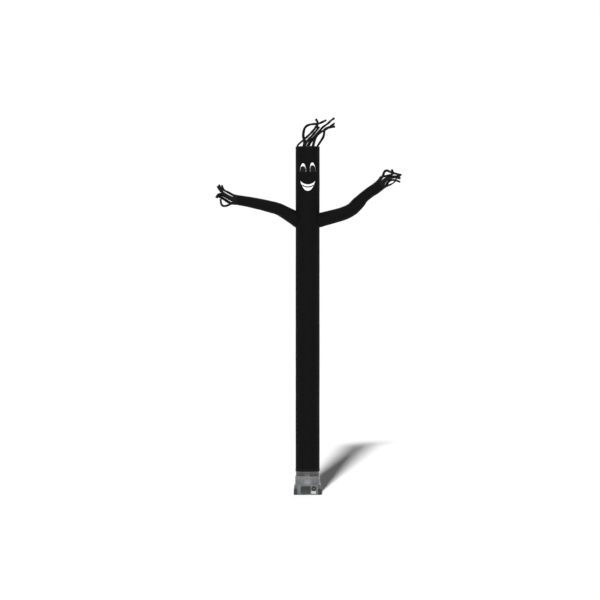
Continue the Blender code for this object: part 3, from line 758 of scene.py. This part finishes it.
# Sleeves. Two tapered sleeves of the same ripstop, each sewn round a hole in the tube's side and felled along its
# underside. They are open at the hand, and crease on the inside of their bends.
# Columns: x, y, z, diameter
SLEEVES = {
    "left": (
        (-0.100, 0.000, 5.133, 0.300),
        (-0.230, 0.000, 5.215, 0.280),
        (-0.400, 0.000, 5.316, 0.247),
        (-0.570, -0.006, 5.400, 0.232),
        (-0.797, -0.018, 5.463, 0.218),
        (-1.023, -0.032, 5.513, 0.204),
        (-1.250, -0.044, 5.556, 0.192),
        (-1.380, -0.050, 5.574, 0.190),
    ),
    "right": (
        (0.100, 0.000, 5.152, 0.279),
        (0.228, 0.000, 5.185, 0.274),
        (0.432, 0.005, 5.241, 0.262),
        (0.602, 0.015, 5.286, 0.256),
        (0.716, 0.023, 5.327, 0.252),
        (0.829, 0.031, 5.387, 0.246),
        (0.886, 0.035, 5.436, 0.246),
        (0.943, 0.038, 5.495, 0.246),
        (0.999, 0.042, 5.552, 0.230),
        (1.056, 0.045, 5.612, 0.210),
        (1.170, 0.051, 5.703, 0.206),
        (1.283, 0.056, 5.778, 0.208),
        (1.394, 0.060, 5.868, 0.209),
    ),
}
TOWARDS = {"left": -1, "right": 1}
# Columns: how far along, degrees round from the top, spread along, spread round in degrees, depth, from fold to fold
CREASES = {
    "left": (
        (0.52, 180, 0.13, 55, 0.0065, 0.052),
        (0.20, 180, 0.05, 60, 0.0050, 0.040),
        (1.22, 20, 0.06, 50, 0.003, 0.04),
    ),
    "right": (
        (0.76, 0, 0.12, 58, 0.0085, 0.050),
        (1.14, 180, 0.10, 50, 0.0055, 0.046),
        (0.22, 180, 0.05, 60, 0.0045, 0.04),
    ),
}
SLEEVE_COLUMNS = 80
SLEEVE_ROWS = 150
STRIP_CLOTH = 0.0007


def smooth_through(rows, step):
    """Rows about a step apart on a smooth curve through these."""
    rows = [Vector(row) for row in rows]
    padded = [2 * rows[0] - rows[1], *rows, 2 * rows[-1] - rows[-2]]
    made = [rows[0]]
    for a, b, c, d in zip(padded, padded[1:], padded[2:], padded[3:]):
        pieces = max(1, round((c - b).length / step))
        for k in range(1, pieces + 1):
            t = k / pieces
            point = b * 2 + (c - a) * t + (a * 2 - b * 5 + c * 4 - d) * t**2
            made.append((point + (b * 3 - a - c * 3 + d) * t**3) / 2)
    return made


def frames(rows, towards):
    """Directions along a path, up from it and back from it, at each point. towards is its side, -1 or 1."""
    found = []
    for before, after in zip([rows[0], *rows], [*rows[1:], rows[-1]]):
        along = (after - before).to_3d().normalized()
        up = along.cross(Vector((0, 1, 0))).normalized() * towards
        found.append((along, up, up.cross(along) * towards))
    return found


def spine(rows, directions):
    """A path's length, and a function for the row and directions at a distance along it."""
    marks = [0.0]
    for a, b in zip(rows, rows[1:]):
        marks.append(marks[-1] + (b - a).to_3d().length)

    def at(distance):
        far = min(max(bisect_right(marks, distance), 1), len(marks) - 1)
        share = (distance - marks[far - 1]) / (marks[far] - marks[far - 1])
        turned = [a.lerp(b, share).normalized() for a, b in zip(directions[far - 1], directions[far])]
        return rows[far - 1].lerp(rows[far], share), turned

    return marks[-1], at


def sleeve_form(side):
    """A sleeve's length, its spine, and where its cloth starts and lies."""
    rows = smooth_through(SLEEVES[side], 0.012)
    length, at = spine(rows, frames(rows, TOWARDS[side]))

    def plain(turn, along, out=0.0):
        row, (_, up, back) = at(along)
        return row.to_3d() + (row.w / 2 + out) * (up * cos(turn) - back * sin(turn))

    def root(turn):
        low, high = 0.0, 0.5
        for _ in range(24):
            middle = (low + high) / 2
            place = plain(turn, middle)
            skin = TUBE + 0.0010 + tube_swell(atan2(place.x, -place.y), place.z)
            low, high = (low, middle) if place.xy.length > skin else (middle, high)
        return high

    starts = [root(2 * pi * i / 96) for i in range(97)]

    def start(turn):
        place = (turn / (2 * pi) % 1) * 96
        return starts[int(place)] + (place % 1) * (starts[int(place) + 1] - starts[int(place)])

    def swell(turn, along):
        away = along - start(turn)
        out = -0.0034 * (away / 0.014) * exp(1 - away / 0.014) * (0.5 + 0.5 * cos(16 * turn + 2 * sin(3 * turn)))
        for middle, around, spread, wide, depth, fold in CREASES[side]:
            off = (turn - radians(around) + pi) % (2 * pi) - pi
            near = exp(-(((along - middle) / spread) ** 2) - (off / radians(wide)) ** 2)
            out -= depth * near * (0.5 + 0.5 * cos(2 * pi * (along - middle) / fold + 1.5 * sin(2 * off)))
        shape = Vector((cos(turn), sin(turn), 0))
        out += 0.0026 * eased(away / 0.1) * noise.noise(shape * 1.3 + Vector((0, TOWARDS[side] * 7, along * 5)))
        return out + 0.0008 * eased(away / 0.05) * noise.noise(shape * 4 + Vector((5, 0, along * 19)))

    def on_sleeve(across, along, lift=0.0):
        turn = across / (at(along)[0].w / 2)
        return plain(turn, along, swell(turn, along) + lift)

    return length, at, start, on_sleeve


SEAM_ALLOWANCE = 0.008
SEAM_RADIUS = 0.14  # about that of the arm seams
WRIST = 0.040  # from the wrist's stitches to the sleeve's end
sleeve_forms = {}
arm_holes = []
for side in SLEEVES:
    length, at, start, on_sleeve = sleeve_forms[side] = sleeve_form(side)

    def across_at(turn, along):
        return turn * at(along)[0].w / 2

    def sleeve_pattern(u, v):
        turn = 2 * pi * (u - 0.5)
        along = start(turn) + v * (length - start(turn))
        return across_at(turn, along), along

    bm, size, area = lay_cloth(SLEEVE_COLUMNS, SLEEVE_ROWS, sleeve_pattern, on_sleeve)
    sleeve = cloth_piece(f"sleeve_{side}", bm, ripstop, "ripstop", f"arm_{side}")
    sewn = bmesh.new()
    wrist = length - WRIST
    around_wrist = 2 * pi * (at(wrist)[0].w / 2)
    pitch = around_wrist / round(around_wrist / STITCH_PITCH)
    sew(sewn, around_wrist, lambda x, y, z: on_sleeve(x - around_wrist / 2, wrist + y, z + GAP), pitch)

    def beside_root(x, y, z):
        turn = x - pi
        along = start(turn) + 0.006 + y
        return on_sleeve(across_at(turn, along), along, z + GAP)

    turns = round(2 * pi * SEAM_RADIUS / STITCH_PITCH)
    sew(sewn, 2 * pi, beside_root, 2 * pi / turns, (STITCH[0] / SEAM_RADIUS, *STITCH[1:]))
    first = start(pi) + 0.012
    for off in (-0.004, 0.004):
        sew(
            sewn, wrist - first - ROW_START,
            lambda x, y, z: on_sleeve(across_at(pi, first + x) + off + y, first + x, z + 0.0012),
        )

    def on_under_seam(across, along, lift=0.0):
        return on_sleeve(across_at(pi, along) + across, along, lift + 0.0010)

    seam_bm, _, _ = lay_cloth(
        3, 120, lambda u, v: ((u - 0.5) * 0.012, first - ROW_START + v * (wrist - first)), on_under_seam
    )
    under_seam = cloth_piece(f"sleeve_{side}_seam", seam_bm, ripstop, "ripstop", thick=STRIP_CLOTH)
    stitches = piece(f"sleeve_{side}_stitches", sewn, black_thread, "ripstop")
    hole_rows = smooth_through(SLEEVES[side], 0.03)[:12]
    hole = bmesh.new()
    bmesh.ops.create_circle(hole, segments=64, radius=1, cap_ends=True)
    ring = list(hole.edges)
    angles = {vert: atan2(vert.co.y, vert.co.x) for vert in hole.verts}
    for number, (row, (_, up, back)) in enumerate(zip(hole_rows, frames(hole_rows, TOWARDS[side]))):
        if number:
            ring = extrude_ring(hole, ring)
            angles = follow(ring, angles)
        for vert, turn in angles.items():
            vert.co = row.to_3d() + (row.w / 2 - SEAM_ALLOWANCE) * (up * cos(turn) - back * sin(turn))
    bmesh.ops.contextual_create(hole, geom=ring)
    arm_holes.append(hole)
cut_out(tube, 60, *arm_holes)

# Hair. Six long strips cut from a lighter cloth and caught in the top seam, each with a short row of stitches. The
# air that leaks there throws them up and over.
# Columns: around, the place on the rim in degrees; tip_y, how far behind its rim's centre the strip ends; tip_face,
# 0 edge-on and 90 flat to the front; tip_width; runs, the length and heading of each run
HAIR = (
    (30, -0.050, 50, 0.058, ((0.031, 90), (0.172, 39), (0.18, 44), (0.10, 50), (0.13, 52), (0.10, 128))),
    (-72, 0.130, -50, 0.055, ((0.11, 79), (0.08, 121), (0.11, 83), (0.09, 73), (0.10, 25), (0.18, 6), (0.15, 26))),
    (75, -0.170, 52, 0.055, ((0.07, 82), (0.22, 46), (0.11, 52), (0.08, 56))),
    (-91, 0.080, -48, 0.055, ((0.11, 62), (0.07, 41), (0.28, 52), (0.13, 32), (0.09, 51), (0.07, 30))),
    (116, -0.110, 132, 0.055, ((0.11, 77), (0.10, 67), (0.11, 45), (0.18, 27), (0.14, 36))),
    (-146, 0.030, -126, 0.060, ((0.16, 57), (0.09, 64), (0.08, 95), (0.05, 56), (0.10, 18), (0.09, 4))),
)
HAIR_ROOTS = (0.074, 0.062, 0.062, 0.062, 0.062, 0.074)
LAP = 0.030
CORNER_REACH = 0.03
TAPER = 0.7
STRIP_PITCH = 0.0040


def corner_cut(points):
    """Rounds an open path by cutting its corners four times."""
    for _ in range(4):
        middle = []
        for a, b in zip(points, points[1:]):
            share = min(0.3, CORNER_REACH / (b - a).length)
            middle += [a.lerp(b, share), a.lerp(b, 1 - share)]
        points = [points[0], *middle[1:-1], points[-1]]
    return points


def evenly(points, step):
    """Evenly spaced points on a path, about a step apart."""
    lengths = [(b - a).length for a, b in zip(points, points[1:])]
    count = ceil(sum(lengths) / step)
    spacing = sum(lengths) / count
    made = [points[0]]
    walked = 0.0
    for (a, b), length in zip(zip(points, points[1:]), lengths):
        while len(made) < count and spacing * len(made) <= walked + length:
            made.append(a.lerp(b, (spacing * len(made) - walked) / length))
        walked += length
    return [*made, points[-1]]


def make_strip(name, node, rim, row, root_width, number, towards=1, lap=0.0):
    """A loose strip, wrapped to a rim at its root and free beyond it."""
    centre, (along, up, back), radius = rim
    around, tip_y, tip_face, tip_width, runs = row
    turn = radians(around)
    root = centre + radius * (up * cos(turn) - back * sin(turn)) - along * lap
    path = [root, root + along * lap * 2] if lap else [root]
    whole = sum(run[0] for run in runs)
    start_y = path[-1].y
    walked = 0.0
    for run, heading in runs:
        walked += run
        part = walked / whole
        point = path[-1] + Vector((cos(radians(heading)), 0, sin(radians(heading)))) * run
        point.y = start_y + (centre.y + tip_y - start_y) * part**2 * (3 - 2 * part)
        path.append(point)
    path = evenly(corner_cut(path), 0.032)
    length, at = spine(path, [rim[1], *frames(path, towards)[1:]])

    def width(distance):
        ease = min(max((distance - 2 * lap) / (whole * TAPER), 0), 1)
        return root_width + (tip_width - root_width) * ease * (2 - ease)

    def lay(across, distance, lift=0.0):
        point, (_, up, back) = at(distance)
        loose = eased((distance - 2 * lap) / (whole * TAPER))
        face = radians(around + (tip_face - around) * loose)
        out = up * cos(face) - back * sin(face)
        beside = up * sin(face) + back * cos(face)
        curl = (1 - loose) / radius + loose * (9 * sin(2.3 * number + 14 * distance) + 4)
        edge = 2 * across / width(distance)
        lift += 0.0030 * loose * edge * sin(distance * 46 + number * 1.9)
        lift += 0.0018 * loose * noise.noise(Vector((across * 30, distance * 22, number)))
        bent = across * curl
        reach = sin(bent) / curl if abs(curl) > 0.01 else across
        drop = (cos(bent) - 1) / curl if abs(curl) > 0.01 else 0
        return point + beside * reach + out * drop + (out * cos(bent) + beside * sin(bent)) * lift

    rows = ceil(length / 0.008)
    bm, size, area = lay_cloth(8, rows, lambda u, v: ((u - 0.5) * width(v * length), v * length), lay)
    strip = cloth_piece(name, bm, strip_cloth, "strip_cloth", node, thick=STRIP_CLOTH, offset=0)
    sewn = bmesh.new()
    stitch_lift = STRIP_CLOTH / 2 + THREAD_LIFT
    for distance in (0.006, 0.024) if lap else (0.005,):
        span = width(distance) - 0.008
        sew(sewn, span, lambda x, y, z: lay(x - span / 2, distance + y, z + stitch_lift), STRIP_PITCH)
    stitches = piece(f"{name}_stitches", sewn, black_thread, "strip_cloth")


strip_cloth = woven("black strip cloth", (0.0060, 0.0060, 0.0061), 0.62, 0.005, 0.0011, crease=0.0008)
hair_rim = (
    Vector((0, 0, TUBE_TOP + 0.0006)),
    (Vector((0, 0, 1)), Vector((-1, 0, 0)), Vector((0, 1, 0))),
    TUBE - 0.0020,
)
for number, (row, root_width) in enumerate(zip(HAIR, HAIR_ROOTS), 1):
    make_strip(f"hair_strip_{number}", f"hair_{number}", hair_rim, row, root_width, number)

# Fingers. Six strips of the same cloth lapped over the end of each sleeve and sewn down with two rows. They narrow
# to their tips and flick about in the air that leaves the hand. The columns are those of the hair.
FINGERS = {
    "left": (
        (30, -0.050, 60, 0.045, ((0.12, 152), (0.10, 158), (0.10, 104))),
        (90, -0.095, 70, 0.055, ((0.07, 150), (0.18, 146), (0.09, 128), (0.06, 116))),
        (150, -0.025, 112, 0.044, ((0.04, 186), (0.07, 208), (0.10, 184), (0.09, 104), (0.05, 94))),
        (210, 0.095, 245, 0.060, ((0.06, 164), (0.14, 145), (0.11, 150))),
        (270, 0.055, 250, 0.055, ((0.08, 164), (0.16, 150), (0.06, 185), (0.08, 245))),
        (330, 0.015, 305, 0.045, ((0.12, 156), (0.13, 152), (0.10, 120))),
    ),
    "right": (
        (30, -0.065, 72, 0.044, (
            (0.08, 42), (0.08, 76), (0.05, 48), (0.05, -8), (0.06, -33), (0.07, -17), (0.14, -14),
        )),
        (90, -0.110, 70, 0.045, ((0.10, 50), (0.15, 14), (0.13, -12))),
        (150, -0.025, 130, 0.032, ((0.13, 24), (0.08, 38), (0.06, 72), (0.05, 105))),
        (210, 0.052, 240, 0.045, ((0.02, 40), (0.11, 68), (0.12, 8), (0.11, -24))),
        (270, 0.092, 250, 0.050, ((0.12, 47), (0.12, 18), (0.14, -4))),
        (330, 0.015, 305, 0.050, ((0.045, 84), (0.16, 7), (0.12, 17), (0.10, 122))),
    ),
}
for side, (length, at, _, _) in sleeve_forms.items():
    end, directions = at(length)
    hand = max(end.w, at(length - 0.09)[0].w) / 2
    rim = (end.to_3d(), directions, hand + 0.0030)
    share = 2 * pi * rim[2] / 6 * 0.97  # of the hand's girth
    for number, row in enumerate(FINGERS[side], 1):
        make_strip(
            f"finger_strip_{side}_{number}", f"finger_{side}_{number}", rim, row, share, number + 6,
            TOWARDS[side], LAP,
        )

# Face. Flat shapes cut from white and black cloth and sewn on the front of the tube with satin stitch: two arched
# eyes with a pupil on each, and a wide smile with a line across it.
EYES = (("left", -0.093, 0.162, 0.03), ("right", 0.108, 0.178, -0.11))  # side, middle, height and lean
EYE_Z = 6.103
EYE_WIDTH = 0.123
PUPIL_WIDTH = 0.116
PUPIL_POWER = 2.5
BROW = 0.052
MOUTH_X = 0.004
MOUTH_HALF = 0.151
MOUTH_Z = 5.934
MOUTH_DIP = 0.186
MOUTH_POWER = 2.3
LIP_DIP = 0.066
TOOTH_HALF = 0.112
TOOTH_Z = 5.853
TOOTH_RISE = 0.034
TOOTH_WIDTH = 0.021
SATIN = (0.0011, 0.0040, 0.0008)
SATIN_PITCH = 0.0012
PATCH_LIFT = 0.0011
LAYER_LIFT = 0.0013
OUTLINE_STEPS = 160

white_cloth = woven(
    "white applique cloth", (0.80, 0.80, 0.79), 0.65, 0.004, 0.0009, sheen=0.05, crease=0.0006, gloss=0.3
)
black_cloth = woven("black applique cloth", (0.0085, 0.0085, 0.0085), 0.70, 0.004, 0.0009, crease=0.0006)
white_thread = thread_finish("white thread", (0.70, 0.70, 0.69))
# Columns: cloth, thread, slot, 0 for a piece on the tube or 1 for one on another piece
WHITE = (white_cloth, white_thread, "white_applique", 0)
BLACK = (black_cloth, black_thread, "black_applique", 1)


def patch(name, made_of, middle, half, low, high, lean=0.0):
    """A flat piece between two curves, with satin stitch round it."""
    cloth, thread, slot, layer = made_of
    lift = PATCH_LIFT + layer * LAYER_LIFT

    def pattern(u, v):
        x = -half * cos(pi * u)
        rise = v * (high(x) - low(x))
        return middle + x + lean * rise, low(x) + rise

    def place(across, height, off=0.0):
        return on_tube(across, height, lift + off)

    bm, size, area = lay_cloth(56, 14, pattern, place)
    made = cloth_piece(f"{name}_patch", bm, cloth, slot, name)
    steps = OUTLINE_STEPS
    outline = [Vector((*pattern(i / steps, 0), 0)) for i in range(steps + 1)]
    outline += [Vector((*pattern(i / steps, 1), 0)) for i in range(steps - 1, 0, -1)]
    outline = [a for a, b in zip(outline, outline[1:] + outline[:1]) if (a - b).length > 0.0002]
    outline.append(outline[0])
    sideways = [((b - a).normalized(), Vector((0, 0, 1)), Vector((0, 0, 1))) for a, b in zip(outline, outline[1:])]
    length, at = spine(outline, [*sideways, sideways[-1]])

    def lay(x, y, z):
        point, (along, _, _) = at(x)
        point = point.to_3d() + Vector((-along.y, along.x, 0)) * (y + SATIN[1] * 0.42)
        return place(point.x, point.y, z + THREAD_LIFT)

    edge = bmesh.new()
    sew(edge, length, lay, length / round(length / SATIN_PITCH), SATIN)
    border = piece(f"{name}_border", edge, thread, slot)
    if layer and size[1] < 0.08:
        size = (length / 2, area / (length / 2))
    min(area, size[0] * size[1])


def arch(half, height, power=2.0):
    return lambda x: EYE_Z + height * max(1 - abs(x / half) ** power, 0) ** (1 / power)


def hanging(half, end_z, dip, power=2.0):
    return lambda x: end_z - dip * (1 - min(abs(x / half), 1) ** power)


level = arch(1, 0)
for side, middle, height, lean in EYES:
    patch(f"eye_{side}", WHITE, middle, EYE_WIDTH / 2, level, arch(EYE_WIDTH / 2, height), lean)
    pupil = arch(PUPIL_WIDTH / 2, height - BROW, PUPIL_POWER)
    patch(f"pupil_{side}", BLACK, middle, PUPIL_WIDTH / 2, level, pupil, lean)
chin = hanging(MOUTH_HALF, MOUTH_Z, MOUTH_DIP, MOUTH_POWER)
patch("mouth", WHITE, MOUTH_X, MOUTH_HALF, chin, hanging(MOUTH_HALF, MOUTH_Z, LIP_DIP))
below, above = (hanging(TOOTH_HALF, TOOTH_Z + side * TOOTH_WIDTH / 2, TOOTH_RISE) for side in (-1, 1))
patch("tooth_line", BLACK, MOUTH_X, TOOTH_HALF, below, above)

# Floor, light and camera. A plain white floor, a low soft light from the front that throws the shadow back and to
# the right, an even sky, and a long lens a little above level.
FLOOR_HALF = 2500
floor_bm = bmesh.new()
bmesh.ops.create_grid(floor_bm, x_segments=1, y_segments=1, size=FLOOR_HALF)
paint = {"Base Color": (0.90, 0.90, 0.90, 1), "Roughness": 0.9, "Specular IOR Level": 0.0}
floor_paint, _, _ = new_finish("floor paint", paint)
floor = in_scene("floor", mesh_of("floor", floor_bm))
floor.data.materials.append(floor_paint)

# What each light reaches, and what throws a shadow on the floor: all but the sleeves and their strips
lit = {name: bpy.data.collections.new(name) for name in ("floor", "dancer", "shadow")}
lit["floor"].objects.link(floor)
for made in scene.objects:
    if body_of(made):
        lit["dancer"].objects.link(made)
        if not made.name.startswith(("sleeve", "finger")):
            lit["shadow"].objects.link(made)
# Columns: what it lights, azimuth and elevation it comes from in degrees, strength, softness in degrees
LIGHTS = (
    ("floor", -4.1, 23.4, 8.0, 2.4),
    ("floor", 176, 62, 0.3, 30),
    ("dancer", -2, 18, 2.3, 56),
    ("dancer", -75, 22, 0.75, 80),
    ("dancer", 75, 22, 0.65, 80),
    ("dancer", 180, 30, 1.5, 80),
    ("dancer", 0, 84, 1.0, 60),
)
for number, (receiver, azimuth, elevation, strength, softness) in enumerate(LIGHTS, 1):
    light = bpy.data.lights.new(f"light_{number}", "SUN")
    light.energy = strength
    light.angle = radians(softness)
    lamp = in_scene(f"light_{number}", light)
    lamp.rotation_euler = (radians(90 - elevation), 0, radians(azimuth))
    lamp.light_linking.receiver_collection = lit[receiver]
    if receiver == "floor":
        lamp.light_linking.blocker_collection = lit["shadow"]

SKY_SEEN = 1.05
SKY_FILL = 0.04
sky = bpy.data.worlds.new("sky")
sky.use_nodes = True
tree = sky.node_tree
seen = tree.nodes.new("ShaderNodeBackground")
fill_light = tree.nodes["Background"]
for background, strength in ((seen, SKY_SEEN), (fill_light, SKY_FILL)):
    background.inputs["Color"].default_value = (1, 1, 1, 1)
    background.inputs["Strength"].default_value = strength
path = tree.nodes.new("ShaderNodeLightPath")
either = tree.nodes.new("ShaderNodeMixShader")
for number, out in enumerate((path.outputs["Is Camera Ray"], fill_light.outputs[0], seen.outputs[0])):
    tree.links.new(out, either.inputs[number])
tree.links.new(either.outputs[0], tree.nodes["World Output"].inputs["Surface"])
scene.world = sky
scene.view_settings.view_transform = "Standard"

AIM = Vector((-0.144, 0, 3.675))
ELEVATION = radians(2.5)
DISTANCE = 157.5
FOCAL_LENGTH = 500
CLIP_END = 6000
lens = bpy.data.cameras.new("camera")
lens.lens = FOCAL_LENGTH
lens.clip_end = CLIP_END
camera = in_scene("camera", lens)
back_to_camera = Vector((0, -cos(ELEVATION), sin(ELEVATION)))
camera.location = AIM + DISTANCE * back_to_camera
camera.rotation_euler = (-back_to_camera).to_track_quat("-Z", "Y").to_euler()
bpy.context.scene.camera = camera
